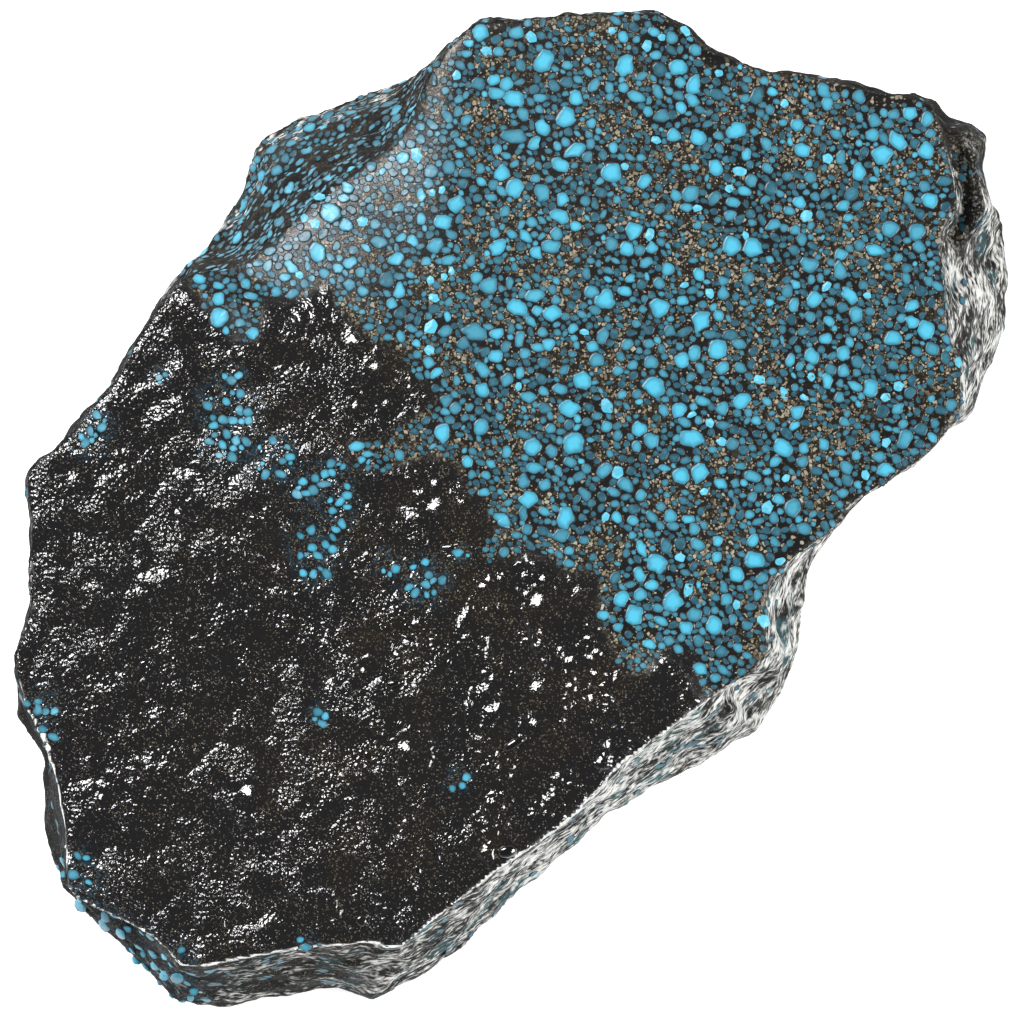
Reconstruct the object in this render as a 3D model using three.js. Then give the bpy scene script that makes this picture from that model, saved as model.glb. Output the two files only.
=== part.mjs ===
// A raw turquoise nugget: a flat, irregular slab of nodular turquoise in dark matrix, broken
// steeply all round, lying on its flat underside. It is one stone, so it is one closed solid.
// Millimetres, +Z up, origin under the middle of the stone on the surface that it lies on.
import * as THREE from "three";

// ---- driving dimensions, mm unless named otherwise -------------------------------------------
const THICKNESS = 12.4; // highest point of the face above the surface
const WIDEST_LEVEL = 2.6; // height at which the broken sides reach furthest out
const UNDERCUT = 3.2; // how far the flat underside stays inside the widest outline
const DOME_X = 0.0011; // fall of the face per mm squared, away from its crest, along X
const DOME_Y = 0.0008; // and along Y
const CREST = new THREE.Vector2(8, 4); // where the face is highest
const EDGE_ROLL = { reach: 1.0, drop: 0.25 }; // rounding of the face towards its rim
const SHOULDER = { reach: 11, drop: 1.3 }; // the long fall of the face above the sloping flank
const FLANK = { heading: 122, spread: 27, foot: 1.0 }; // the sloping flank and its foot's height
const CRUST_STEP = 0.35; // how much the dark crust stands above the nodule field
const CRUST_LUMP = 0.42; // height of the crust's broad lumps
const FIELD_LUMP = 0.16; // height of the nodule field's slow waves
const SIDE_ROUGHNESS = 0.6; // in-and-out wander of the broken sides
const SIDE_BULGE = 0.82; // below 1 the sides are steeper at the top than at the bottom

// ---- features of the broken sides: headings and spreads in degrees, counter-clockwise from +X ----
const LEDGE = { heading: 35.5, spread: 6.5, floor: 7.0, lip: 8.0 }; // a low shelf behind a crevice
const RECESS = { heading: -37.5, spread: 4.5, depth: 1.5 }; // a hollow broken out of the side

// ---- resolution ------------------------------------------------------------------------------
const STATIONS = 180; // points round each ring
const FACE_RINGS = 14; // rings from the middle of the face to its rim
const SIDE_STEPS = [0.1, 0.26, 0.44, 0.63, 0.82, 1]; // rim to widest outline, as a share of the way
const TURN_STEPS = [[0.1, 0.55], [0.42, 0.2], [1, 0]]; // widest outline to underside: share in, down

// The widest outline, seen from above, clockwise from the left-hand corner.
const WIDEST = [
  [-39.4, 3.6], [-36.5, 5.4], [-32.4, 10.4], [-29.7, 15.2], [-26.5, 19.7], [-22.4, 24.7],
  [-21.6, 26.6], [-20.0, 30.1], [-18.0, 31.4], [-13.6, 33.0], [-9.6, 34.4], [-6.8, 35.8],
  [-5.4, 37.6], [-2.8, 39.6], [1.5, 39.8], [6.0, 40.1], [11.6, 40.3], [14.3, 38.8],
  [15.9, 37.2], [19.9, 35.6], [23.6, 35.3], [30.0, 33.8], [33.6, 33.6], [35.4, 31.5],
  [37.6, 31.0], [38.5, 29.6], [37.6, 28.1], [38.0, 26.4], [39.4, 23.0], [40.3, 17.5],
  [40.2, 15.4], [38.9, 12.5], [38.0, 10.5], [37.3, 7.5], [34.8, 5.8], [33.2, 4.0],
  [29.2, 1.5], [27.1, -0.4], [24.4, -4.3], [23.4, -8.9], [23.4, -10.9], [22.1, -14.8],
  [19.3, -18.3], [11.1, -22.8], [7.6, -24.8], [3.3, -28.8], [-4.8, -36.1], [-10.8, -39.6],
  [-14.4, -38.8], [-18.7, -39.3], [-24.0, -40.3], [-26.7, -40.0], [-29.2, -37.4],
  [-33.8, -33.2], [-36.0, -30.6], [-37.9, -25.2], [-37.6, -20.6], [-39.9, -16.4],
  [-40.3, -11.6], [-39.0, -8.0], [-38.9, -2.9],
];

// The rim of the face, inside the widest outline where the side slopes, clockwise likewise.
const RIM = [
  [-39.2, 3.4], [-36.3, 5.2], [-32.2, 10.2], [-29.4, 15.0], [-26.5, 18.9], [-22.9, 19.4],
  [-19.4, 21.4], [-16.5, 24.0], [-14.0, 26.1], [-10.4, 28.4], [-8.0, 31.9], [-6.7, 35.4],
  [-5.2, 37.3], [-2.8, 39.2], [1.5, 39.5], [6.0, 39.8], [11.4, 40.0], [14.1, 38.5],
  [15.7, 36.9], [19.9, 35.3], [23.6, 35.0], [30.0, 33.5], [33.4, 33.2], [34.4, 32.0],
  [34.7, 30.6], [35.6, 26.0], [35.9, 24.1], [34.7, 22.0], [34.5, 20.0], [35.1, 13.0],
  [36.1, 12.0], [36.3, 9.3], [36.0, 7.1], [33.1, 3.8], [27.3, 0.3], [25.2, -2.4],
  [21.3, -5.3], [20.6, -7.0], [20.7, -10.9], [19.8, -12.9], [16.6, -14.8], [9.1, -20.4],
  [4.8, -24.8], [2.8, -26.4], [-0.4, -28.5], [-6.5, -33.3], [-8.7, -35.3], [-10.8, -34.8],
  [-16.0, -35.1], [-26.3, -36.9], [-28.4, -34.7], [-34.7, -31.4], [-35.9, -30.2],
  [-36.1, -25.0], [-37.3, -18.5], [-39.3, -15.8], [-40.1, -11.8], [-38.9, -8.0],
  [-38.8, -2.9],
];

// The edge between the nodule field, up and to the right, and the dark crust.
const CRUST_EDGE = [
  [-26.5, 18.2], [-17.0, 17.3], [-13.6, 15.4], [-7.0, 10.6], [-4.5, 6.5], [-3.2, 1.0],
  [-1.6, -2.8], [4.6, -4.9], [8.2, -7.0], [8.6, -11.6], [14.0, -11.7], [15.1, -15.7],
];

// ---- small helpers ---------------------------------------------------------------------------
const clamp01 = (v) => Math.min(1, Math.max(0, v));

function smoothstep(from, to, v) {
  const s = clamp01((v - from) / (to - from));
  return s * s * (3 - 2 * s);
}

// 1 at a feature's heading, falling smoothly to 0 one spread away from it.
function nearHeading(feature, degrees) {
  const off = Math.abs(((degrees - feature.heading + 540) % 360) - 180);
  return 1 - smoothstep(0.55, 1, off / feature.spread);
}

// A repeatable number from 0 to 1 for each point of the whole-number grid.
function hash(i, j, seed) {
  const s = Math.sin(i * 127.1 + j * 311.7 + seed * 74.7) * 43758.5453;
  return s - Math.floor(s);
}

// Smooth noise from -1 to 1 with bumps about one unit apart.
function noise(x, y, seed) {
  const i = Math.floor(x);
  const j = Math.floor(y);
  const u = smoothstep(0, 1, x - i);
  const v = smoothstep(0, 1, y - j);
  const low = THREE.MathUtils.lerp(hash(i, j, seed), hash(i + 1, j, seed), u);
  const high = THREE.MathUtils.lerp(hash(i, j + 1, seed), hash(i + 1, j + 1, seed), u);
  return 2 * THREE.MathUtils.lerp(low, high, v) - 1;
}

// How far an outline lies from the axis along a heading in radians.
function reach(outline, heading) {
  const dx = Math.cos(heading);
  const dy = Math.sin(heading);
  let far = 0;
  outline.forEach(([ax, ay], i) => {
    const [bx, by] = outline[(i + 1) % outline.length];
    const across = dx * (by - ay) - dy * (bx - ax);
    const along = (dy * ax - dx * ay) / across;
    const distance = (ax * (by - ay) - ay * (bx - ax)) / across;
    if (along >= 0 && along <= 1 && distance > far) {
      far = distance;
    }
  });
  return far;
}

// How far a point is on the crust's side of the crust's edge: positive on the crust.
function crustDepth(x, y) {
  let nearest = Infinity;
  let depth = 0;
  CRUST_EDGE.slice(1).forEach(([bx, by], i) => {
    const [ax, ay] = CRUST_EDGE[i];
    const length = Math.hypot(bx - ax, by - ay);
    const along = clamp01(((x - ax) * (bx - ax) + (y - ay) * (by - ay)) / length ** 2);
    const distance = Math.hypot(x - ax - along * (bx - ax), y - ay - along * (by - ay));
    if (distance < nearest) {
      nearest = distance;
      const side = (by - ay) * (x - ax) - (bx - ax) * (y - ay);
      depth = Math.sign(side) * distance;
    }
  });
  return depth;
}

// ---- the face --------------------------------------------------------------------------------
// Height of the face at a point, `inside` mm from its rim on a heading in degrees.
function faceHeight(x, y, inside, degrees) {
  const dome = DOME_X * (x - CREST.x) ** 2 + DOME_Y * (y - CREST.y) ** 2;
  const flank = nearHeading(FLANK, degrees);
  const roll = EDGE_ROLL.drop * (1 - smoothstep(0, EDGE_ROLL.reach, inside));
  const shoulder = SHOULDER.drop * flank * (1 - clamp01(inside / SHOULDER.reach)) ** 2;
  const crust = smoothstep(-1.2, 1.2, crustDepth(x, y));
  const lumps = 0.6 * noise(x / 7, y / 7, 1) + 0.4 * noise(x / 3.4, y / 3.4, 2);
  const waves = noise(x / 11, y / 11, 3);
  const relief = crust * (CRUST_STEP + CRUST_LUMP * lumps) + (1 - crust) * FIELD_LUMP * waves;
  return THICKNESS - CRUST_STEP - FIELD_LUMP - dome - roll - shoulder + relief;
}

// ---- the stone -------------------------------------------------------------------------------
// The points of the stone on one heading, from the rim of the middle of the face down to the
// edge of the underside, each as [distance from the axis, height].
function profile(station) {
  const heading = (station / STATIONS) * 2 * Math.PI;
  const degrees = THREE.MathUtils.radToDeg(heading);
  const rim = reach(RIM, heading);
  const widest = Math.max(reach(WIDEST, heading), rim + 0.15);
  const points = [];
  for (let ring = 1; ring <= FACE_RINGS; ring += 1) {
    const radius = rim * (1 - (1 - ring / FACE_RINGS) ** 1.5);
    const x = radius * Math.cos(heading);
    const y = radius * Math.sin(heading);
    points.push([radius, faceHeight(x, y, rim - radius, degrees)]);
  }
  const rimHeight = points[points.length - 1][1];
  const ledge = nearHeading(LEDGE, degrees);
  const recess = nearHeading(RECESS, degrees);
  const room = widest - rim;
  const inwards = 1 - Math.min(1, room / 2);
  const edgeX = widest * Math.cos(heading);
  const edgeY = widest * Math.sin(heading);
  const foot = WIDEST_LEVEL + 0.8 * noise(edgeX / 12, edgeY / 12, 6);
  const level = THREE.MathUtils.lerp(foot, FLANK.foot, nearHeading(FLANK, degrees));
  SIDE_STEPS.forEach((step, i) => {
    const coarse = noise(edgeX / 6 + 0.45 * i, edgeY / 6 - 0.35 * i, 5) - inwards;
    const fine = noise(edgeX / 2 + 1.1 * i, edgeY / 2 - 0.8 * i, 8) - inwards;
    const wander = SIDE_ROUGHNESS * (0.65 * coarse + 0.35 * fine) * (step < 1 ? 1 : 0);
    const hollow = RECESS.depth * recess * Math.sin(Math.PI * step);
    const plain = rim + room * step + wander - hollow;
    const slope = THREE.MathUtils.lerp(rimHeight, level, step ** SIDE_BULGE);
    const shelf = THREE.MathUtils.lerp(LEDGE.floor, LEDGE.lip, smoothstep(0.1, 0.6, step));
    const shelved = step < 1 ? shelf : LEDGE.floor - 1;
    points.push([plain, THREE.MathUtils.lerp(slope, shelved, ledge)]);
  });
  const inset = UNDERCUT * (1 + 0.45 * noise(edgeX / 8, edgeY / 8, 7));
  TURN_STEPS.forEach(([inward, height]) => {
    points.push([widest - inward * inset, height * level]);
  });
  return points;
}

// Joins the profiles into one closed skin, with its faces outwards.
function stoneGeometry() {
  const profiles = Array.from({ length: STATIONS }, (_, station) => profile(station));
  const rings = profiles[0].length;
  const faceTop = faceHeight(0, 0, reach(RIM, 0), 0);
  const positions = [0, 0, faceTop, 0, 0, 0];
  profiles.forEach((points, station) => {
    const heading = (station / STATIONS) * 2 * Math.PI;
    points.forEach(([radius, height]) => {
      positions.push(radius * Math.cos(heading), radius * Math.sin(heading), height);
    });
  });
  const at = (station, ring) => 2 + (station % STATIONS) * rings + ring;
  const index = [];
  for (let s = 0; s < STATIONS; s += 1) {
    index.push(0, at(s, 0), at(s + 1, 0));
    for (let r = 0; r < rings - 1; r += 1) {
      index.push(at(s, r), at(s, r + 1), at(s + 1, r + 1));
      index.push(at(s, r), at(s + 1, r + 1), at(s + 1, r));
    }
    index.push(1, at(s + 1, rings - 1), at(s, rings - 1));
  }
  const geometry = new THREE.BufferGeometry();
  geometry.setAttribute("position", new THREE.Float32BufferAttribute(positions, 3));
  geometry.setIndex(index);
  geometry.computeVertexNormals();
  return geometry;
}

const turquoiseRock = new THREE.MeshStandardMaterial({
  color: 0x3a7f9c,
  roughness: 0.35,
  metalness: 0,
});

const nugget = new THREE.Mesh(stoneGeometry(), turquoiseRock);
nugget.name = "turquoise_nugget";

const stone = new THREE.Group();
stone.add(nugget);

export default stone;
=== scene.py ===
import copy
import math

import bmesh
import bpy
import numpy as np
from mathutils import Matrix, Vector
from mathutils.bvhtree import BVHTree
from mathutils.kdtree import KDTree


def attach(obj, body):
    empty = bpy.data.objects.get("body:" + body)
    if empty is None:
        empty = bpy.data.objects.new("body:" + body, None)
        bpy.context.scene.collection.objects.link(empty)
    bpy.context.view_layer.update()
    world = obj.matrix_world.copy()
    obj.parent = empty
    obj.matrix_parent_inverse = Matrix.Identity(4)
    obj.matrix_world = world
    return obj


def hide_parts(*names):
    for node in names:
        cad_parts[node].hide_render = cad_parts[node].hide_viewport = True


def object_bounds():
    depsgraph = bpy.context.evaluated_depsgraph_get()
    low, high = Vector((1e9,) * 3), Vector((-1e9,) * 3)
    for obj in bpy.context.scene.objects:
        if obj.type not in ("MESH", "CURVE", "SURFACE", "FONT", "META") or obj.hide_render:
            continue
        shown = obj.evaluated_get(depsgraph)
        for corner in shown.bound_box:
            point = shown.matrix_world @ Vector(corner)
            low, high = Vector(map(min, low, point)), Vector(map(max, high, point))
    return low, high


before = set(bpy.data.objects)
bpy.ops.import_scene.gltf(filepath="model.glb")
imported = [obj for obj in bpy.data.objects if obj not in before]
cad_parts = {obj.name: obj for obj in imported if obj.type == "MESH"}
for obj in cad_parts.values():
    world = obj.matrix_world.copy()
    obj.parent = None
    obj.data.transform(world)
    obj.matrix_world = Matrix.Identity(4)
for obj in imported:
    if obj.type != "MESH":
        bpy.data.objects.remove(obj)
CAD_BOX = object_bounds()

bl_info = {
    "name": "Raw Turquoise Nugget",
    "version": (1, 0, 0),
    "blender": (4, 5, 0),
    "location": "3D View > Sidebar > Nugget",
    "description": "Finishes a raw turquoise nugget: rock, nodules, chips, pyrite, crust beads and stage",
    "category": "Object",
}

# Sizes are in millimetres until they reach a mesh. Blender's properties and the stage are in metres.
MM = 0.001
ROCK_NODE = "turquoise_nugget"
NODULE_PIECES = ("large_nodules", "middling_nodules", "small_nodules")
CLOUD_LENGTH = 2.2  # size of the patches where pyrite crowds and the nodules thin out
CLOUD_SEED = 11
HEADROOM = 0.08  # room kept over the rock for the grains on it, under the top of the stone's box
PRESSED = 0.35  # the height over which rises near the top of the stone's box are pressed down
SKIN_SUNK = 0.16  # how far the rock's skin is taken in, so that proud grains stay in the stone's box
FLOOR_CLEARANCE = 0.7  # nothing is scattered lower than this
LARGE_RADIUS = 0.38  # nodules above this radius have the roundest outlines
SMALL_RADIUS = 0.27  # nodules below this radius have the simplest outlines
CLOSENESS = 0.92  # how much of the sum of their radii keeps two nodules apart
HOLLOW = (-9.4, 0.8, 1.5)  # a dark smooth pit in the crust: x, y and radius
HOLLOW_DEPTH = 0.2
BROAD_STEEPNESS = 0.25  # a swell's height as a share of its radius
SMOOTH_STEEPNESS = 0.31

# Swells of the crust that catch the light: x, y and radius. The small ones are smooth.
BROAD_SWELLS = [(-26.4, 10.5, 2.0), (-25.8, 7.5, 1.8), (-20.6, 1.3, 2.0), (-19.0, -0.7, 2.0)]
SMOOTH_SWELLS = [
    (-10.4, 11.0, 1.3), (-12.1, 7.9, 1.0), (-9.6, 8.1, 1.0), (-12.2, 13.3, 1.0), (-5.4, -0.4, 1.8),
    (-2.2, -1.3, 2.4), (-5.8, 2.0, 0.9), (2.6, -7.9, 1.6), (4.6, -9.4, 1.5), (6.1, -7.2, 1.9),
    (2.8, -5.7, 0.9), (2.6, -14.8, 1.6), (2.2, -17.4, 1.1), (-8.0, -19.4, 1.5), (-20.7, -23.0, 1.4),
    (-11.6, -13.1, 1.0),
]

# The nodule field, up and to the right, ends at the dark crust along this line, left to right.
FIELD_EDGE = [
    (-30.0, 21.0), (-25.9, 18.5), (-24.4, 16.1), (-23.0, 15.3), (-22.4, 13.7), (-20.4, 13.6),
    (-20.0, 15.3), (-19.8, 17.0), (-18.1, 16.8), (-16.1, 17.4), (-14.4, 18.1), (-13.9, 16.5),
    (-12.9, 15.3), (-11.2, 13.8), (-9.3, 13.2), (-8.3, 11.6), (-6.7, 10.2), (-5.6, 8.7),
    (-7.0, 7.6), (-8.9, 6.5), (-10.0, 5.4), (-12.9, 5.4), (-12.8, 3.8), (-10.1, 3.2),
    (-6.5, 4.6), (-4.4, 3.6), (-3.2, 1.7), (-1.9, 0.5), (-1.1, -1.7), (-2.4, -2.9),
    (-1.9, -4.0), (1.3, -3.5), (2.9, -3.6), (4.4, -4.9), (7.1, -4.9), (7.1, -8.4),
    (8.4, -11.5), (9.3, -13.0), (10.7, -12.9), (12.0, -11.2), (14.8, -11.4), (15.1, -13.9),
    (16.0, -15.2), (22.0, -22.0),
]
FIELD_BEYOND = [(60, -40), (60, 60), (-40, 60)]  # closes the field's outline outside the stone

# Small nests of nodules that show through the crust: x, y and radius.
NESTS = [
    (-22.2, 10.0, 1.1), (-22.7, 7.8, 1.9), (-22.7, 5.7, 1.7), (-18.9, 4.1, 1.5),
    (-16.0, 1.4, 1.3), (-14.1, 2.5, 1.3), (-13.5, 0.8, 1.0), (-13.7, -0.7, 1.0),
    (-15.6, -2.8, 1.6), (-15.6, -5.0, 1.0), (-9.9, -4.3, 0.9), (-6.9, -5.6, 1.5),
    (-3.9, -3.6, 0.6), (-15.3, -16.4, 0.7), (-4.3, -21.6, 0.8), (-33.9, 6.5, 1.6),
    (-37.7, -15.7, 1.3), (-37.3, -18.0, 0.9), (-37.3, -21.2, 0.9), (-37.4, -24.2, 1.1),
    (-36.8, -27.2, 0.9), (-34.9, -28.7, 1.3), (-33.9, -29.8, 1.1), (-33.2, -33.2, 1.4),
    (-31.2, -34.4, 1.2), (-29.3, -35.8, 1.6), (-27.7, -37.2, 1.5), (-26.4, -38.6, 1.5),
    (-26.1, -35.6, 0.9), (-16.3, -34.4, 0.6), (-28.1, 10.8, 0.7),
]


# ---- node trees written as Python ---------------------------------------------------------------
class Flow:
    """What flows out of a node's socket, so that maths on it reads as a Python expression."""

    def __init__(self, net, socket):
        self.net = net
        self.socket = socket

    def __add__(self, other):
        return self.net.math("ADD", self, other)

    def __sub__(self, other):
        return self.net.math("SUBTRACT", self, other)

    def __mul__(self, other):
        return self.net.math("MULTIPLY", self, other)

    def __truediv__(self, other):
        return self.net.math("DIVIDE", self, other)

    def __radd__(self, other):
        return self.net.math("ADD", other, self)

    def __rsub__(self, other):
        return self.net.math("SUBTRACT", other, self)

    def __rmul__(self, other):
        return self.net.math("MULTIPLY", other, self)

    def __rtruediv__(self, other):
        return self.net.math("DIVIDE", other, self)

    def __lt__(self, other):
        return self.net.math("LESS_THAN", self, other)

    def rise(self, low, high):
        """0 below low, 1 above high and smooth between. With low above high it falls."""
        sockets = {"Value": self, "From Min": low, "From Max": high}
        return self.net.add("ShaderNodeMapRange", sockets, interpolation_type="SMOOTHSTEP")

    def output(self, name):
        """Another output of the same node."""
        return Flow(self.net, self.socket.node.outputs[name])

    def parts(self):
        """The three numbers of a vector or colour."""
        split = self.net.add("ShaderNodeSeparateXYZ", {"Vector": self})
        return [split.output(axis) for axis in "XYZ"]


class Net:
    """Adds nodes to one shader or geometry tree."""

    def __init__(self, tree):
        self.tree = tree

    def add(self, kind, sockets=None, output=0, **settings):
        """Adds a node: settings first, then a value or a link for each socket named or numbered."""
        node = self.tree.nodes.new(kind)
        for name, value in settings.items():
            setattr(node, name, value)
        for key, value in (sockets or {}).items():
            if isinstance(value, Flow):
                self.tree.links.new(value.socket, node.inputs[key])
            else:
                node.inputs[key].default_value = value
        return Flow(self, node.outputs[output]) if node.outputs else node

    def math(self, operation, first, second):
        return self.add("ShaderNodeMath", {0: first, 1: second}, operation=operation)

    def vector(self, operation, first, second):
        return self.add("ShaderNodeVectorMath", {0: first, 1: second}, operation=operation)

    def scaled(self, vector, scale):
        return self.add("ShaderNodeVectorMath", {0: vector, "Scale": scale}, operation="SCALE")

    def stretched(self, vector, x, y, z):
        """A place or direction scaled by its own factor along each axis."""
        return self.vector("MULTIPLY", vector, (x, y, z))

    def object_place(self):
        """The place on the piece, in mm."""
        return self.scaled(self.add("ShaderNodeTexCoord", output="Object"), 1 / MM)

    def blend(self, amount, under, over):
        """Lays the colour over on the colour under."""
        return self.add("ShaderNodeMix", {0: amount, 6: under, 7: over}, 2, data_type="RGBA")

    def noise(self, point, size, detail=0.0):
        """Cloudy noise with features about `size` mm across."""
        sockets = {"Vector": point, "Scale": 1 / size, "Detail": detail}
        return self.add("ShaderNodeTexNoise", sockets, "Fac")

    def cells(self, point, size, feature="F1"):
        """Voronoi cells about `size` mm across, with distances in cells."""
        sockets = {"Vector": point, "Scale": 1 / size}
        return self.add("ShaderNodeTexVoronoi", sockets, "Distance", feature=feature)

    def bump(self, height):
        """Relief of a height in mm, for a shader's Normal."""
        return self.add("ShaderNodeBump", {"Height": height, "Distance": MM})


def rgb(red, green, blue):
    return (red, green, blue, 1.0)


# ---- materials ---------------------------------------------------------------------------------
def new_material(name):
    """A material with an empty principled shader and the net that writes it."""
    material = bpy.data.materials.new(name)
    material.use_nodes = True
    net = Net(material.node_tree)
    shader = next(n for n in material.node_tree.nodes if n.type == "BSDF_PRINCIPLED")
    return material, net, shader


def feed(net, shader, **flows):
    """Links flows to the shader's inputs, by their names."""
    for name, flow in flows.items():
        net.tree.links.new(flow.socket, shader.inputs[name.replace("_", " ")])


def attribute(net, name):
    """A number stored for each of the piece's points."""
    return net.add("ShaderNodeAttribute", output="Fac", attribute_name=name)


def flecked_matrix(net, place):
    """Near-black matrix with angular flecks of tan, brass and grey pyrite that crowd in clouds. The flecks
    thin out where the rock is bare: on the broken sides and the flank, where it shows few flecks, and on
    the sunk ledge, where the fleckless black is painted shade.
    """
    cloud = attribute(net, "cloud")
    bare = attribute(net, "bare")
    matrix = net.blend(cloud, rgb(0.005, 0.005, 0.005), rgb(0.009, 0.008, 0.006))
    for size, share, shift in ((0.17, 0.17, 3.7), (0.33, 0.20, 0.0)):
        spot = net.vector("ADD", place, (shift, shift, shift))
        fleck = net.cells(spot, size)
        border = (net.cells(spot, size, "F2") - fleck) * 0.5
        kept, hue, bright = fleck.output("Color").parts()
        crowd = share + 0.32 * cloud.rise(0.35, 0.8)
        mask = border.rise(0.05, 0.15) * (kept < crowd) * (1.0 - bare)
        brass = net.blend(hue, rgb(0.23, 0.190, 0.120), rgb(0.31, 0.285, 0.225))
        brass = net.blend(bright.rise(0.15, 0.95), rgb(0.026, 0.021, 0.014), brass)
        matrix = net.blend(mask, matrix, brass)
    return matrix


def crust_skin(net, place, black):
    """Black crust, browner to the right, with golden dust, and with blue stains round the nests."""
    stain = attribute(net, "stain")
    brown = net.noise(place, 6.0, 2.0).rise(0.4, 0.7) * place.parts()[0].rise(-36.0, -8.0)
    skin = net.blend(brown, black, rgb(0.0125, 0.0110, 0.0090))
    patchy = net.noise(place, 0.5, 1.0).rise(0.45, 0.65)
    skin = net.blend(stain * patchy * 0.6, skin, rgb(0.012, 0.042, 0.064))
    dusty, gold, shine = net.cells(place, 0.09).output("Color").parts()
    dust = net.blend(gold, rgb(0.150, 0.112, 0.062), rgb(0.130, 0.125, 0.115))
    strewn = 0.14 + 0.10 * brown + 0.20 * stain
    return net.blend((dusty < strewn) * shine * shine * shine, skin, dust)


def streaked_breaks(net, place, side, strata, hollows, colour, pale):
    """Lays the broken sides' teal patches, pale streaks and a white line along the lower edge on a colour.
    The pale streaks are partly powdered stone and partly a painted reflection of the bright floor; the
    white line is a painted highlight.
    """
    fresh_and_glare = attribute(net, "fresh_and_glare")
    teal = net.noise(net.stretched(place, 0.4, 0.4, 1.0), 1.3, 1.0).rise(0.54, 0.66)
    colour = net.blend(teal * fresh_and_glare * side * 0.6, colour, rgb(0.035, 0.120, 0.135))
    # pale streaks: partly powdered stone, partly a painted reflection of the bright floor on the glossy
    # breaks that face it
    crushed_and_painted_reflection = (strata * 0.62 + hollows * 0.38 - 0.10 * (1.0 - fresh_and_glare)).rise(0.43, 0.60)
    crushed_and_painted_reflection = crushed_and_painted_reflection * side.rise(0.05, 0.5) * fresh_and_glare.rise(0.0, 0.15)
    colour = net.blend(crushed_and_painted_reflection, colour, pale)
    # painted highlight: a white line along the top of the lower walls, standing for light caught by their
    # edge
    painted_edge_highlight = attribute(net, "painted_edge_highlight").rise(0.03, 0.35) * strata.rise(0.34, 0.46)
    return net.blend(painted_edge_highlight, colour, rgb(0.80, 0.80, 0.78))


def rock_material(settings):
    """A dark matrix full of pyrite flecks, turning into a glossy black crust and glossy breaks."""
    material, net, shader = new_material("turquoise_rock")
    place = net.object_place()
    side = attribute(net, "side")
    strata = net.noise(net.stretched(place, 0.20, 0.20, 1.0), 0.14, 4.0)
    hollows = net.noise(net.stretched(place, 0.3, 0.3, 0.8), 0.9, 2.0)
    matrix = flecked_matrix(net, place)
    skin = crust_skin(net, place, rgb(*settings.crust_colour))
    colour = net.blend(attribute(net, "crust_depth").rise(-0.3, 0.4), matrix, skin)
    pale = rgb(*settings.streak_colour)
    colour = streaked_breaks(net, place, side, strata, hollows, colour, pale)

    # fine relief: grain and worm-like swells on the crust, ledges on the broken sides
    height = net.noise(place, 0.29, 0.8) * (0.185 * attribute(net, "grainy"))
    height = height + net.noise(place, 0.75) * (0.42 * attribute(net, "lively"))
    height = height + strata * (0.16 * side) + hollows * (0.45 * side)
    height = height + net.noise(place, 0.15) * (0.012 + 0.02 * side)
    relief = net.bump(height)

    # a dull surface and a polished one, mixed by how polished the place is
    feed(net, shader, Base_Color=colour, Normal=relief, Roughness=0.34 + 0.64 * side)
    shader.inputs["IOR"].default_value = 1.37
    glossy = net.add("ShaderNodeBsdfPrincipled", {
        "Base Color": colour, "Normal": relief, "Roughness": 0.07, "IOR": 1.56})
    both = net.add("ShaderNodeMixShader", {
        0: attribute(net, "polish"), 1: Flow(net, shader.outputs[0]), 2: glossy})
    surface = next(n for n in material.node_tree.nodes if n.type == "OUTPUT_MATERIAL")
    net.tree.links.new(both.socket, surface.inputs["Surface"])
    return material


def nodule_material(settings):
    """Turquoise nodules worn flush: sky blue to slate, darker towards the rim, with a black outline. The
    darkening is painted dome shading over the nodules' own dark translucent edge; the black outline is
    painted contact shade where they meet the rock.
    """
    material, net, shader = new_material("turquoise_nodule")
    place = net.object_place()
    tone = attribute(net, "tone")
    rim = attribute(net, "rim")
    mottle = net.noise(place, 0.45, 2.0)
    body = net.blend(tone.rise(0.0, 0.55), rgb(*settings.slate_blue), rgb(0.040, 0.195, 0.275))
    body = net.blend(tone.rise(0.45, 1.0), body, rgb(*settings.sky_blue))
    body = net.blend(mottle.rise(0.35, 0.75) * 0.25, body, rgb(0.075, 0.30, 0.39))
    # painted dome shading over the nodule's own dark translucent edge: darker towards the rim
    body = net.blend(rim.rise(0.35, 0.98) * (0.78 - 0.20 * tone), body, rgb(0.008, 0.050, 0.072))
    # painted contact shade: a black outline at the foot, where the nodule meets the rock
    body = net.blend(rim.rise(0.92, 0.98), body, rgb(0.004, 0.004, 0.005))
    feed(net, shader, Base_Color=body, Roughness=0.38 + 0.3 * rim.rise(0.90, 1.0))
    shader.inputs["IOR"].default_value = 1.46
    return material


def chip_material():
    """Freshly broken turquoise, brighter than the worn nodules, with paler mottled patches."""
    material, net, shader = new_material("turquoise_chip")
    place = net.object_place()
    tone = attribute(net, "tone")
    mottle = net.noise(place, 0.4, 2.0)
    face = net.blend(tone, rgb(0.060, 0.33, 0.46), rgb(0.075, 0.40, 0.54))
    face = net.blend(mottle.rise(0.45, 0.75) * 0.5, face, rgb(0.24, 0.54, 0.63))
    feed(net, shader, Base_Color=face, Normal=net.bump(mottle * 0.04))
    shader.inputs["Roughness"].default_value = 0.40
    return material


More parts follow.
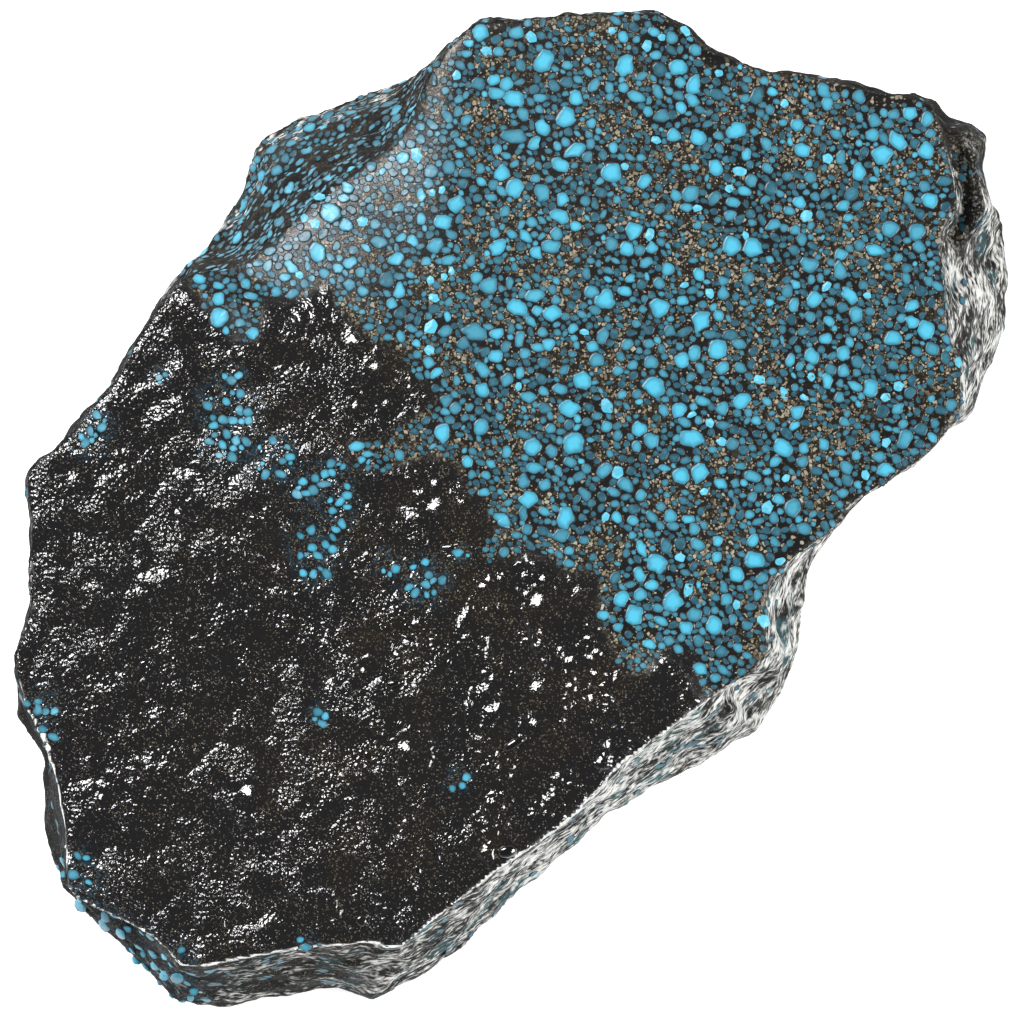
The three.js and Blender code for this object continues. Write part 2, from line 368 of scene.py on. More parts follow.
def pyrite_material(settings):
    """Dull pyrite grains, from brown through brass to pale grey."""
    material, net, shader = new_material("pyrite")
    place = net.object_place()
    tone = attribute(net, "tone")
    grit = net.noise(place, 0.12, 1.0)
    metal = net.blend(tone.rise(0.0, 0.6), rgb(0.07, 0.053, 0.032), rgb(*settings.pyrite_colour))
    metal = net.blend(tone.rise(0.7, 1.0), metal, rgb(0.36, 0.33, 0.27))
    feed(net, shader, Base_Color=net.blend(grit * 0.5, metal, rgb(0.05, 0.04, 0.026)))
    feed(net, shader, Roughness=0.42 + 0.3 * grit)
    shader.inputs["Metallic"].default_value = 0.35
    return material


def bead_material():
    """The crust's gloss: black with a brown cast."""
    material, net, shader = new_material("crust_bead")
    place = net.object_place()
    cast = net.noise(place, 5.0, 2.0).rise(0.4, 0.7)
    feed(net, shader, Base_Color=net.blend(cast, rgb(0.006, 0.006, 0.006), rgb(0.013, 0.009, 0.006)))
    feed(net, shader, Normal=net.bump(net.noise(place, 0.25, 1.0) * 0.02))
    shader.inputs["Roughness"].default_value = 0.10
    shader.inputs["IOR"].default_value = 1.6
    shader.inputs["Coat Weight"].default_value = 0.6
    shader.inputs["Coat Roughness"].default_value = 0.04
    return material


def floor_material():
    """Matt white board with the faintest tooth, lit softly from below."""
    material, net, shader = new_material("white_floor")
    place = net.add("ShaderNodeTexCoord", output="Object")
    tooth = net.noise(place, 0.02, 2.0)
    feed(net, shader, Base_Color=net.blend(tooth, rgb(0.86, 0.86, 0.86), rgb(0.88, 0.88, 0.88)))
    shader.inputs["Roughness"].default_value = 0.9
    shader.inputs["Specular IOR Level"].default_value = 0.1
    shader.inputs["Emission Color"].default_value = rgb(1.0, 1.0, 1.0)
    shader.inputs["Emission Strength"].default_value = 0.45
    return material


# ---- measuring the rock ------------------------------------------------------------------------
def outline_distance(points, outline):
    """Distance from each point to a closed outline in mm, negative inside it."""
    x, y = points[:, 0], points[:, 1]
    nearest = np.full(len(points), np.inf)
    inside = np.zeros(len(points), bool)
    for (ax, ay), (bx, by) in zip(outline, outline[1:] + outline[:1]):
        ex, ey = bx - ax, by - ay
        along = np.clip(((x - ax) * ex + (y - ay) * ey) / (ex * ex + ey * ey), 0, 1)
        nearest = np.minimum(nearest, np.hypot(x - ax - along * ex, y - ay - along * ey))
        if ay != by:
            crossing = (ay > y) != (by > y)
            inside ^= crossing & (x < ex * (y - ay) / ey + ax)
    return np.where(inside, -nearest, nearest)


def crust_depth(points):
    """How far each point lies into the crust, in mm: negative on the nodule field."""
    return outline_distance(points, FIELD_EDGE + FIELD_BEYOND)


def away_from(points, x, y, radius):
    """Distance from a round spot's middle, as a share of its radius."""
    return np.hypot(points[:, 0] - x, points[:, 1] - y) / radius


def on_flank(points):
    """How far each point lies towards the field's long slope at the upper left."""
    return rise(-2, -8, points[:, 0]) * rise(10, 15, points[:, 1])


def headings(points):
    """Each point's direction from the stone's middle in degrees, 0 towards +X and 90 towards +Y."""
    return np.degrees(np.arctan2(points[:, 1], points[:, 0]))


def fresh_and_glare_side(points):
    """How newly broken and glossy the stone's side is at each point's heading: the right and lower right,
    which face the bright floor and the fill light and also get the painted reflection streaks.
    """
    heading = headings(points)
    return rise(-138, -72, heading) * rise(42, 28, heading)


def sunk(points):
    """How far each point lies below the field on the right, on its broken side and ledge."""
    return (points[:, 0] > 12) * rise(10.2, 9.4, points[:, 2])


def low_corner(points):
    """Whether each point is at the stone's lower left corner, where the nodules lie bare."""
    return (points[:, 0] < -24) & (points[:, 1] < -28)


def waves(points, length, seed):
    """Slow clouds from 0 to 1 with features about `length` mm across, by summing random waves."""
    draw = np.random.default_rng(seed)
    total = np.zeros(len(points))
    for _ in range(9):
        way = draw.normal(size=3)
        way *= 2 * math.pi / (length * draw.uniform(1.2, 3.0)) / np.linalg.norm(way)
        total += np.sin(points @ way + draw.uniform(0, 2 * math.pi))
    return rise(-3.0, 3.0, total)


def vertex_array(mesh, name, width):
    """Reads the mesh's places or normals, a row for each point."""
    values = np.empty(len(mesh.vertices) * width, np.float32)
    mesh.vertices.foreach_get(name, values)
    return values.reshape(-1, width)


def rise(low, high, values):
    """0 below low, 1 above high and smooth between. With low above high it falls."""
    share = np.clip((values - low) / (high - low), 0, 1)
    return share * share * (3 - 2 * share)


def store(mesh, name, values):
    """Keeps a number or a vector for each of the mesh's points, for its material or its tree."""
    kind, key = ("FLOAT_VECTOR", "vector") if values.ndim == 2 else ("FLOAT", "value")
    mesh.attributes.new(name, kind, "POINT").data.foreach_set(key, values.astype(np.float32).ravel())


def new_piece(name, mesh):
    piece = bpy.data.objects.new(name, mesh)
    bpy.context.scene.collection.objects.link(piece)
    return piece


def settled(piece, name):
    """The piece's mesh with all its modifiers worked in, as a new plain mesh."""
    evaluated = piece.evaluated_get(bpy.context.evaluated_depsgraph_get())
    mesh = bpy.data.meshes.new_from_object(evaluated)
    mesh.name = name
    return mesh


def replace_mesh(piece, mesh):
    piece.modifiers.clear()
    old = piece.data
    piece.data = mesh
    bpy.data.meshes.remove(old)


# ---- the rock ----------------------------------------------------------------------------------
def merged_copy(node):
    """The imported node's mesh with its loose triangles joined."""
    bm = bmesh.new()
    bm.from_mesh(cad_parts[node].data)
    bmesh.ops.remove_doubles(bm, verts=bm.verts, dist=0.001 * MM)
    mesh = bpy.data.meshes.new("rock")
    bm.to_mesh(mesh)
    bm.free()
    return mesh


def group_socket(tree, name, kind, value=None, side="INPUT"):
    """Gives a tree a named input or output."""
    socket = tree.interface.new_socket(name, in_out=side, socket_type=kind)
    if value is not None:
        socket.default_value = value


def relief_tree():
    """Raises the crust's lumps and the broken sides' ledges along the normal."""
    tree = bpy.data.node_groups.new("rock relief", "GeometryNodeTree")
    group_socket(tree, "Geometry", "NodeSocketGeometry")
    for name in ("Crust lumps", "Side fractures"):
        group_socket(tree, name, "NodeSocketFloat", 1.0)
    group_socket(tree, "Geometry", "NodeSocketGeometry", side="OUTPUT")
    net = Net(tree)
    given = net.add("NodeGroupInput")

    def read(name):
        return net.add("GeometryNodeInputNamedAttribute", {"Name": name}, data_type="FLOAT")

    crust, side = read("crust_depth"), read("side")
    skin = crust.rise(-0.6, 1.2) * (1.0 - side)
    place = net.scaled(net.add("GeometryNodeInputPosition"), 1 / MM)
    lumps = net.noise(place, 2.6, 2.0) - 0.5
    knobs = 0.45 - net.cells(place, 1.7)
    folds = net.noise(net.stretched(place, 1, 1, 1.6), 3.2, 3.0) - 0.5
    ledges = net.noise(net.stretched(place, 0.3, 0.3, 1), 1.1, 1.0) - 0.6
    height = skin * read("lumpy") * (0.55 * lumps + 0.16 * knobs) * given.output("Crust lumps")
    height = height + side * (1.1 * folds + 1.1 * ledges) * given.output("Side fractures")
    offset = net.scaled(net.add("GeometryNodeInputNormal"), (height - SKIN_SUNK) * read("free") * MM)
    shaped = net.add("GeometryNodeSetPosition", {
        "Geometry": given.output("Geometry"), "Offset": offset})
    net.add("NodeGroupOutput", {"Geometry": shaped})
    return tree


def run_tree(piece, tree, **values):
    """Runs a geometry tree on a piece, with inputs set by their sockets' identifiers."""
    modifier = piece.modifiers.new(tree.name, "NODES")
    modifier.node_group = tree
    names = {item.name: item.identifier for item in tree.interface.items_tree if item.in_out == "INPUT"}
    for name, value in values.items():
        modifier[names[name.replace("_", " ")]] = value


def settle_under(mesh, limit):
    """Presses what rises towards a height limit gently down under it."""
    points = vertex_array(mesh, "co", 3) / MM
    over = np.maximum(points[:, 2] - (limit - PRESSED), 0)
    points[:, 2] -= over - PRESSED * np.tanh(over / PRESSED)
    mesh.vertices.foreach_set("co", (points * MM).ravel())
    mesh.update()


def even_skin(settings):
    """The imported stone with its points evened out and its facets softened."""
    piece = new_piece("turquoise_rock", merged_copy(ROCK_NODE))
    remesh = piece.modifiers.new("even skin", "REMESH")
    remesh.mode = "VOXEL"
    remesh.voxel_size = settings.skin_step
    smooth = piece.modifiers.new("soft facets", "SMOOTH")
    smooth.factor = 0.5
    smooth.iterations = settings.smoothing
    replace_mesh(piece, settled(piece, "turquoise_rock"))
    return piece


def raise_swells(points, swells, steepness, top):
    """Lifts round swells, each given by x, y and radius, out of the stone's face."""
    for swell in swells:
        away = away_from(points, *swell)
        points[:, 2] += steepness * swell[2] * np.exp(-2 * away ** 2) * top


def paint_crust(mesh, points, depth, top):
    """Stores where the crust is grainy, lively, lumpy or stained."""
    smooth = np.max([rise(1.2, 0.8, away_from(points, *swell)) for swell in SMOOTH_SWELLS], axis=0)
    skin = rise(-0.2, 0.8, depth) * rise(0.9, 1.5, away_from(points, *HOLLOW))
    left = rise(6.0, -18.0, points[:, 0])
    broad_patches = 0.35 + 0.65 * rise(0.35, 0.55, waves(points, 6.5, seed=9))
    patches = rise(0.40, 0.60, waves(points, 1.7, seed=5)) * broad_patches
    grainy = skin * (0.35 + 0.65 * left) * (0.3 + 0.7 * patches) * (1 - 0.9 * smooth)
    lively = skin * (0.08 + 0.80 * rise(0.60, 0.78, waves(points, 3.4, seed=7))) * (1 - 0.7 * left)
    nearest_nest = np.min([away_from(points, *nest) for nest in NESTS], axis=0)
    store(mesh, "grainy", np.maximum(grainy, 0.7 * sunk(points)))
    store(mesh, "lively", lively * (1 - smooth))
    store(mesh, "lumpy", 1 - 0.85 * smooth)
    store(mesh, "stain", rise(2.0, 0.9, nearest_nest) * np.maximum(top, low_corner(points)))


def paint_sides(mesh, points, normals, depth):
    """Stores where the broken sides are, how bare of flecks and how newly broken and glossy they are,
    where a painted white highlight runs along the lower edge's top, and how polished each place is. On the
    sunk ledge the lack of flecks is painted shade.
    """
    side = 1 - rise(0.55, 0.86, normals[:, 2])
    flank = on_flank(points)
    heading = headings(points)
    fresh_and_glare = fresh_and_glare_side(points) * (1 - 0.15 * rise(-35, 0, heading))
    fresh_and_glare = np.maximum(fresh_and_glare, 0.4 * flank * rise(3.5, 1.5, points[:, 2]))
    # fleckless, darker matrix: the sides and flank show few flecks; on the sunk ledge it is painted shade
    dark = np.maximum(side, np.maximum(0.5 * sunk(points), flank * rise(0.95, 0.80, normals[:, 2])))
    # where the painted white edge highlight runs: the top of the lower left and bottom walls
    low_edge = rise(-165, -150, heading) * rise(-30, -60, heading) * rise(7.0, 8.5, points[:, 2])
    store(mesh, "bare", 0.88 * dark)
    store(mesh, "painted_edge_highlight", 4 * side * (1 - side) * low_edge)
    store(mesh, "fresh_and_glare", fresh_and_glare)
    store(mesh, "polish", rise(-0.2, 0.8, depth) * (1 - side) + side * (0.02 + 0.08 * fresh_and_glare))
    store(mesh, "side", side)


def thin_underside(piece, points):
    """Takes needless faces out of the flat underside."""
    under = piece.vertex_groups.new(name="underside")
    under.add([int(i) for i in np.flatnonzero(points[:, 2] < 0.02)], 1.0, "REPLACE")
    thin = piece.modifiers.new("thin underside", "DECIMATE")
    thin.ratio = 0.72
    thin.vertex_group = "underside"
    thin.vertex_group_factor = 10


def make_rock(settings):
    """The stone's skin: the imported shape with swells, lumps and ledges, painted by attributes."""
    piece = even_skin(settings)
    mesh = piece.data
    points = vertex_array(mesh, "co", 3) / MM
    normals = vertex_array(mesh, "normal", 3)
    points[:, 2] = np.maximum(points[:, 2] - points[:, 2].min(), 0)
    top = rise(6.0, 8.0, points[:, 2])
    points[:, 2] -= HOLLOW_DEPTH * rise(1.3, 0.2, away_from(points, *HOLLOW)) * top
    raise_swells(points, BROAD_SWELLS, BROAD_STEEPNESS, top)
    raise_swells(points, SMOOTH_SWELLS, SMOOTH_STEEPNESS, top)
    mesh.vertices.foreach_set("co", (points * MM).ravel())
    depth = crust_depth(points)
    store(mesh, "cloud", waves(points, CLOUD_LENGTH, CLOUD_SEED))
    store(mesh, "crust_depth", depth)
    paint_crust(mesh, points, depth, top)
    paint_sides(mesh, points, normals, depth)
    store(mesh, "free", rise(0.05, 0.6, points[:, 2]))

    run_tree(piece, relief_tree(), Crust_lumps=settings.crust_lumps,
             Side_fractures=settings.side_fractures)
    thin_underside(piece, points)
    replace_mesh(piece, settled(piece, "turquoise_rock"))
    settle_under(piece.data, CAD_BOX[1][2] / MM - HEADROOM)
    piece.vertex_groups.clear()
    piece.data.polygons.foreach_set("use_smooth", np.ones(len(piece.data.polygons), bool))
    piece.data.materials.clear()
    piece.data.materials.append(rock_material(settings))
    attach(piece, "root")
    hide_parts(ROCK_NODE)


# ---- grains scattered over the rock --------------------------------------------------------------
class Skin:
    """Points picked evenly over the rock's skin above the floor, with their normals, in mm."""

    def __init__(self, mesh, count, seed):
        draw = np.random.default_rng(seed)
        mesh.calc_loop_triangles()
        corners = np.empty(len(mesh.loop_triangles) * 3, np.int32)
        mesh.loop_triangles.foreach_get("vertices", corners)
        corners = corners.reshape(-1, 3)
        places = vertex_array(mesh, "co", 3)[corners] / MM
        leans = vertex_array(mesh, "normal", 3)[corners]
        area = np.linalg.norm(np.cross(places[:, 1] - places[:, 0], places[:, 2] - places[:, 0]), axis=1)
        area[places[:, :, 2].min(axis=1) < FLOOR_CLEARANCE] = 0
        picked = draw.choice(len(area), count, p=area / area.sum())
        share = draw.dirichlet((1, 1, 1), count)[:, :, None]
        self.points = (places[picked] * share).sum(axis=1)
        self.normals = (leans[picked] * share).sum(axis=1)
        self.normals /= np.linalg.norm(self.normals, axis=1)[:, None]
        self.draw = draw

    def keep(self, chosen):
        """Drops all points but the chosen ones."""
        self.points = self.points[chosen]
        self.normals = self.normals[chosen]

    def only(self, chosen):
        """The chosen points as a skin of their own."""
        part = copy.copy(self)
        part.keep(chosen)
        return part


def powered(draw, least, most, steepness, count):
    """Random sizes, the small ones far more common, largest first."""
    low, high = least ** -steepness, most ** -steepness
    return np.sort((low + (high - low) * draw.random(count)) ** (-1 / steepness))[::-1]


def clear_of_others(points, radii, closeness):
    """Goes from large to small and keeps each point whose circle is clear of those kept."""
    tree = KDTree(len(points))
    for index, point in enumerate(points):
        tree.insert(point, index)
    tree.balance()
    free = np.ones(len(points), bool)
    kept = []
    for index in np.argsort(-radii, kind="stable"):
        if free[index]:
            kept.append(index)
            for _, other, gap in tree.find_range(points[index], 2 * closeness * radii[index]):
                free[other] &= gap > closeness * (radii[index] + radii[other])
    return np.array(kept)


def grain_tree(name, shape, material, smooth):
    """Sets a shape at every point, leaned, turned and sized by the point's own numbers."""
    tree = bpy.data.node_groups.new(name, "GeometryNodeTree")
    group_socket(tree, "Geometry", "NodeSocketGeometry")
    group_socket(tree, "Wobble", "NodeSocketFloat", 0.0)
    group_socket(tree, "Wobble length", "NodeSocketFloat", 1.0)
    group_socket(tree, "Geometry", "NodeSocketGeometry", side="OUTPUT")
    net = Net(tree)
    given = net.add("NodeGroupInput")

    def read(attribute_name, kind="FLOAT_VECTOR"):
        return net.add("GeometryNodeInputNamedAttribute", {"Name": attribute_name}, data_type=kind)

    turned = net.add("FunctionNodeEulerToRotation", {"Euler": read("turn")})
    grains = net.add("GeometryNodeInstanceOnPoints", {
        "Points": given.output("Geometry"), "Instance": shape(net), "Rotation": turned,
        "Scale": net.scaled(read("size"), MM)})
    grains = net.add("GeometryNodeRealizeInstances", {"Geometry": grains})
    place = net.scaled(net.add("GeometryNodeInputPosition"), 1 / MM)
    scale = 1.0 / given.output("Wobble length")
    sway = net.add("ShaderNodeTexNoise", {"Vector": place, "Scale": scale, "Detail": 1.0}, "Color")
    sway = net.vector("SUBTRACT", sway, (0.5, 0.5, 0.5))
    sway = net.vector("MULTIPLY", sway, read("size"))
    sway = net.scaled(sway, given.output("Wobble") * MM)
    grains = net.add("GeometryNodeSetPosition", {"Geometry": grains, "Offset": sway})
    grains = net.add("GeometryNodeSetShadeSmooth", {"Geometry": grains, "Shade Smooth": smooth})
    grains = net.add("GeometryNodeSetMaterial", {"Geometry": grains, "Material": material})
    net.add("NodeGroupOutput", {"Geometry": grains})
    return tree


def worn_nodule(net, corners):
    """A low plug with a flat worn top and a spreading foot, its bottom buried in the rock."""
    plug = net.add("GeometryNodeMeshCone", {
        "Vertices": corners, "Side Segments": 2, "Radius Top": 1.0, "Radius Bottom": 1.0,
        "Depth": 2.0}, fill_type="TRIANGLE_FAN")
    plug = net.add("GeometryNodeTransform", {"Geometry": plug, "Translation": (0, 0, -1)})
    place = net.add("GeometryNodeInputPosition")
    height = place.parts()[2]
    inwards = 0.12 * height.rise(-1.0, 0.0) + 0.18 * height.rise(0.0, 1.0)
    inwards = net.scaled(net.stretched(place, -1, -1, 0), inwards - 0.12)
    plug = net.add("GeometryNodeSetPosition", {"Geometry": plug, "Offset": inwards})
    out = net.add("ShaderNodeVectorMath", {0: net.stretched(place, 1, 1, 0)}, "Value",
                  operation="LENGTH")
    plug = net.add("GeometryNodeStoreNamedAttribute", {
        "Geometry": plug, "Name": "rim", "Value": out}, data_type="FLOAT")
    return net.add("GeometryNodeTransform", {"Geometry": plug, "Translation": (0, 0, 0.7)})


def large_nodule(net):
    return worn_nodule(net, 22)


def middling_nodule(net):
    return worn_nodule(net, 15)


def small_nodule(net):
    return worn_nodule(net, 11)


def broken_chip(net):
    return net.add("GeometryNodeMeshIcoSphere", {"Radius": 1.0, "Subdivisions": 1})


def cube_grain(net):
    return net.add("GeometryNodeMeshCube", {"Size": (2, 2, 2)})


def round_bead(net):
    return net.add("GeometryNodeMeshUVSphere", {"Segments": 9, "Rings": 5, "Radius": 1.0})


def turned(skin):
    """Turns, as Euler angles, that stand each grain on the skin, long side level where it is steep."""
    normals = skin.normals / np.linalg.norm(skin.normals, axis=1)[:, None]
    spin = skin.draw.uniform(0, 2 * math.pi, len(normals))
    along = np.column_stack((np.cos(spin), np.sin(spin), np.zeros(len(spin))))
    level = np.cross((0.0, 0.0, 1.0), normals)
    level /= np.linalg.norm(level, axis=1)[:, None] + 1e-9
    steep = rise(0.9, 0.6, normals[:, 2])[:, None]
    along = along * (1 - steep) + level * steep
    along -= normals * (along * normals).sum(axis=1)[:, None]
    along /= np.linalg.norm(along, axis=1)[:, None]
    across = np.cross(normals, along)
    return np.column_stack((np.arctan2(across[:, 2], normals[:, 2]), -np.arcsin(along[:, 2]),
                            np.arctan2(along[:, 1], along[:, 0])))


def make_grains(name, skin, sizes, tones, shape, material, smooth=True, wobble=0.0, length=1.0):
    """One piece of many like grains at the skin's points. Sizes are half-widths and height in mm."""
    mesh = bpy.data.meshes.new(name)
    mesh.from_pydata((skin.points * MM).tolist(), [], [])
    store(mesh, "turn", turned(skin))
    store(mesh, "size", sizes)
    store(mesh, "tone", tones)
    piece = new_piece(name, mesh)
    run_tree(piece, grain_tree(name, shape, material, smooth), Wobble=wobble, Wobble_length=length)
    replace_mesh(piece, settled(piece, name))
    mesh = piece.data
    for unused in ("turn", "size"):
        mesh.attributes.remove(mesh.attributes[unused])
    low, high = np.array(CAD_BOX)
    places = vertex_array(mesh, "co", 3)
    mesh.vertices.foreach_set("co", np.clip(places, low, high).ravel())
    mesh.update()
    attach(piece, "root")


def in_nests(points):
    """Whether each point is in a nest of nodules in the crust's face, or at the bare corner."""
    inside = np.zeros(len(points), bool)
    for nest in NESTS:
        inside |= away_from(points, *nest) < 1
    return inside & ((points[:, 2] > 8.5) | low_corner(points))


def rock_mesh():
    return bpy.data.objects["turquoise_rock"].data


def nodule_chance(points, normals):
    """How likely a nodule is at each point: crowded on the field and its flank, rare on the breaks."""
    depth = crust_depth(points)
    steep = rise(0.75, 0.45, normals[:, 2])
    clouds = rise(0.45, 0.9, waves(points, CLOUD_LENGTH, CLOUD_SEED))
    broken = fresh_and_glare_side(points)
    field = (1 - 0.8 * clouds) * (1 - 0.95 * steep * broken) * (1 - 0.985 * sunk(points))
    chance = field * rise(0.3, -0.7, depth) + 0.03 * steep * (1 - 0.5 * broken) * (depth > 0)
    clumps = rise(0.44, 0.52, waves(points, 0.9, seed=3))
    return np.where(in_nests(points), np.where(low_corner(points), 0.04, 0.5 * clumps), chance)


def seated(skin, radii, feet):
    """Whether each round nodule's foot stays in the rock all round, not out over a sharp edge."""
    rock = BVHTree.FromObject(bpy.data.objects["turquoise_rock"], bpy.context.evaluated_depsgraph_get())
    level = np.cross((0.3, 0.9, 0.2), skin.normals)
    level /= np.linalg.norm(level, axis=1)[:, None]
    across = np.cross(skin.normals, level)
    firm = np.ones(len(radii), bool)
    for way in (level, across, -level, -across):
        for index, brink in enumerate(skin.points + way * radii[:, None]):
            place, normal, _, _ = rock.find_nearest(Vector(brink * MM))
            firm[index] &= (Vector(brink * MM) - place).dot(normal) < feet[index] * MM
    return firm


def nodule_spots(skin):
    """What part of the stone each point lies on, as far as the nodule there depends on it."""
    steep = rise(0.75, 0.45, skin.normals[:, 2])
    return {
        "nest": in_nests(skin.points),
        "steep": steep,
        "low_break": (crust_depth(skin.points) > 0) & (steep > 0.5),
        "corner": low_corner(skin.points) & (steep > 0.3),
        "sunk": sunk(skin.points) > 0.5,
    }


def nodule_radii(skin, spots, settings):
    """Mostly small radii on the field, and others in the nests, on the breaks and at the corner."""
    draw, count = skin.draw, len(skin.points)
    radii = powered(draw, settings.least_nodule / MM, settings.most_nodule / MM, 4.5, count)
    radii = radii * (1 - 0.15 * spots["steep"])
    most = np.where(spots["sunk"], 0.35, np.where(skin.normals[:, 2] < 0.93, 0.5, 1))
    radii = np.minimum(radii, most)
    radii = np.where(spots["nest"], draw.uniform(0.18, 0.43, count), radii)
    radii = np.where(spots["low_break"], draw.uniform(0.25, 0.65, count), radii)
    return np.where(spots["corner"], draw.uniform(0.30, 0.85, count), radii)


def nodule_sizes(draw, radii, spots):
    """Half-widths along and across, and heights, of the nodules."""
    stretch = draw.uniform(0.92, 1.28, len(radii)) + 0.15 * spots["steep"]
    stretch = np.where(spots["corner"], 0.8, stretch)
    high = (0.025 + 0.03 * radii) * (1 - 0.5 * spots["steep"])
    high = np.where(spots["corner"], 0.25 * radii, np.where(spots["nest"], 0.07, high))
    return np.column_stack((radii * stretch, radii / stretch, high))


def nodule_tones(draw, radii, spots):
    """Tones from 0, slate, to 1, sky blue: the larger the nodule, the brighter it mostly is."""
    count = len(radii)
    tones = 0.02 + 1.9 * (radii - 0.20) + 0.2 * spots["steep"] + draw.normal(0, 0.25, count)
    # dim nodules on the low breaks; on the sunk ledge the dimming is painted shade
    dim = spots["low_break"] | spots["sunk"]
    tones = np.where(dim, draw.uniform(0.0, 0.35, count), tones)
    tones = np.where(spots["nest"] | spots["corner"], draw.uniform(0.35, 0.85, count), tones)
    return np.clip(tones, 0.0, 1.0)


def make_nodules(settings):
    """Packs the nodules together and parts them by size, with the bare and chipped ones apart."""
    skin = Skin(rock_mesh(), settings.nodule_darts, seed=21)
    draw = skin.draw
    skin.keep(draw.random(len(skin.points)) < nodule_chance(skin.points, skin.normals))
    spots = nodule_spots(skin)
    radii = nodule_radii(skin, spots, settings)
    kept = clear_of_others(skin.points, radii * np.where(spots["nest"], 0.87, 1), CLOSENESS)
    skin.keep(kept)
    radii = radii[kept]
    spots = {name: values[kept] for name, values in spots.items()}
    sizes = nodule_sizes(draw, radii, spots)
    tones = nodule_tones(draw, radii, spots)
    chippable = (radii > 0.34) & (radii < 0.62) & (spots["steep"] < 0.2) & ~spots["nest"]
    chipped = chippable & (draw.random(len(radii)) < settings.chip_share)
    corner = spots["corner"]
    flush = nodule_material(settings)
    worn = ~chipped & ~corner & seated(skin, radii, 1.3 * sizes[:, 2] + 0.03)
    large, small = radii > LARGE_RADIUS, radii < SMALL_RADIUS
    by_size = (large, ~large & ~small, small)
    for name, of_size, shape in zip(NODULE_PIECES, by_size, (large_nodule, middling_nodule, small_nodule)):
        chosen = worn & of_size
        make_grains(name, skin.only(chosen), sizes[chosen], tones[chosen], shape, flush,
                    smooth=False, wobble=settings.nodule_wobble, length=0.75)
    make_grains("bare_nodules", skin.only(corner), sizes[corner], tones[corner], round_bead, flush,
                wobble=0.4, length=0.8)
    sizes[:, 2] = 0.05 + 0.12 * radii
    make_grains("turquoise_chips", skin.only(chipped), sizes[chipped], draw.random(chipped.sum()),
                broken_chip, chip_material(), smooth=False, wobble=0.8, length=0.5)


def off_the_nodules(skin):
    """Whether each of the skin's points lies on bare rock between the nodules."""
    clear = np.ones(len(skin.points), bool)
    for name in NODULE_PIECES:
        tree = BVHTree.FromObject(bpy.data.objects[name], bpy.context.evaluated_depsgraph_get())
        for index, (point, normal) in enumerate(zip(skin.points * MM, skin.normals)):
            start, way = Vector(point + normal * MM), Vector(-normal)
            clear[index] &= tree.ray_cast(start, way, 1.6 * MM)[0] is None
    return clear


def make_pyrite(settings):
    """Strews angular pyrite grains over the field between the nodules, thickest in the clouds."""
    skin = Skin(rock_mesh(), settings.pyrite_count * 5, seed=23)
    depth = crust_depth(skin.points)
    crowd = 0.15 + 0.85 * rise(0.3, 0.7, waves(skin.points, CLOUD_LENGTH, CLOUD_SEED))
    bare = (depth < 0.1) & (skin.normals[:, 2] > 0.88) & (sunk(skin.points) < 0.5)
    skin.keep(bare & (skin.draw.random(len(depth)) < crowd))
    skin.keep(off_the_nodules(skin))
    skin.keep(np.arange(len(skin.points)) < settings.pyrite_count)
    skin.normals = skin.normals + 0.6 * skin.draw.normal(size=skin.normals.shape)
    radii = powered(skin.draw, 0.07, settings.most_pyrite / MM, 2.0, len(skin.points))
    sizes = radii[:, None] * skin.draw.uniform((0.7, 0.4, 0.3), (1.2, 0.8, 0.6), (len(radii), 3))
    make_grains("pyrite_grains", skin, sizes, skin.draw.random(len(radii)), cube_grain,
                pyrite_material(settings), smooth=False, wobble=1.4, length=0.25)


def make_beads(settings):
    """Strews clusters of glossy beads over the crust, finer and thicker towards its left."""
    skin = Skin(rock_mesh(), settings.bead_count * 6, seed=24)
    depth = crust_depth(skin.points)
    left = rise(2.0, -20.0, skin.points[:, 0])
    clusters = rise(0.54, 0.68, waves(skin.points, 2.6, seed=31))
    chance = clusters * (0.04 + 0.96 * left)
    bare = (depth > 0.3) & ~in_nests(skin.points) & (skin.normals[:, 2] > 0.8)
    bare &= away_from(skin.points, *HOLLOW) > 1.5
    skin.keep(bare & (skin.draw.random(len(depth)) < chance))
    skin.keep(np.arange(len(skin.points)) < settings.bead_count)
    left = rise(2.0, -20.0, skin.points[:, 0])
    radii = powered(skin.draw, 0.10, settings.most_bead / MM, 2.2, len(skin.points))
    radii = radii * (1.9 - 1.15 * left)
    stretch = 1.0 + skin.draw.random(len(radii)) ** 2
    sizes = np.column_stack((radii * stretch, radii / stretch, 0.45 * radii))
    make_grains("crust_beads", skin, sizes, np.ones(len(radii)), round_bead, bead_material(),
                wobble=0.5, length=0.6)


# ---- the stage, in metres ------------------------------------------------------------------------
FLOOR_HALF = 6.0
SOFT_BOX_SIZE = 0.80
SOFT_BOX_DISTANCE = 2.0
CAMERA_AIM = (0.04 * MM, -0.2 * MM, 7 * MM)  # the place that the camera looks straight down on


def make_floor():
    """A wide board that the stone lies on."""
    mesh = bpy.data.meshes.new("floor")
    corners = [(x * FLOOR_HALF, y * FLOOR_HALF, 0) for x, y in ((-1, -1), (1, -1), (1, 1), (-1, 1))]
    mesh.from_pydata(corners, [], [(0, 1, 2, 3)])
    mesh.materials.append(floor_material())
    new_piece("floor", mesh)


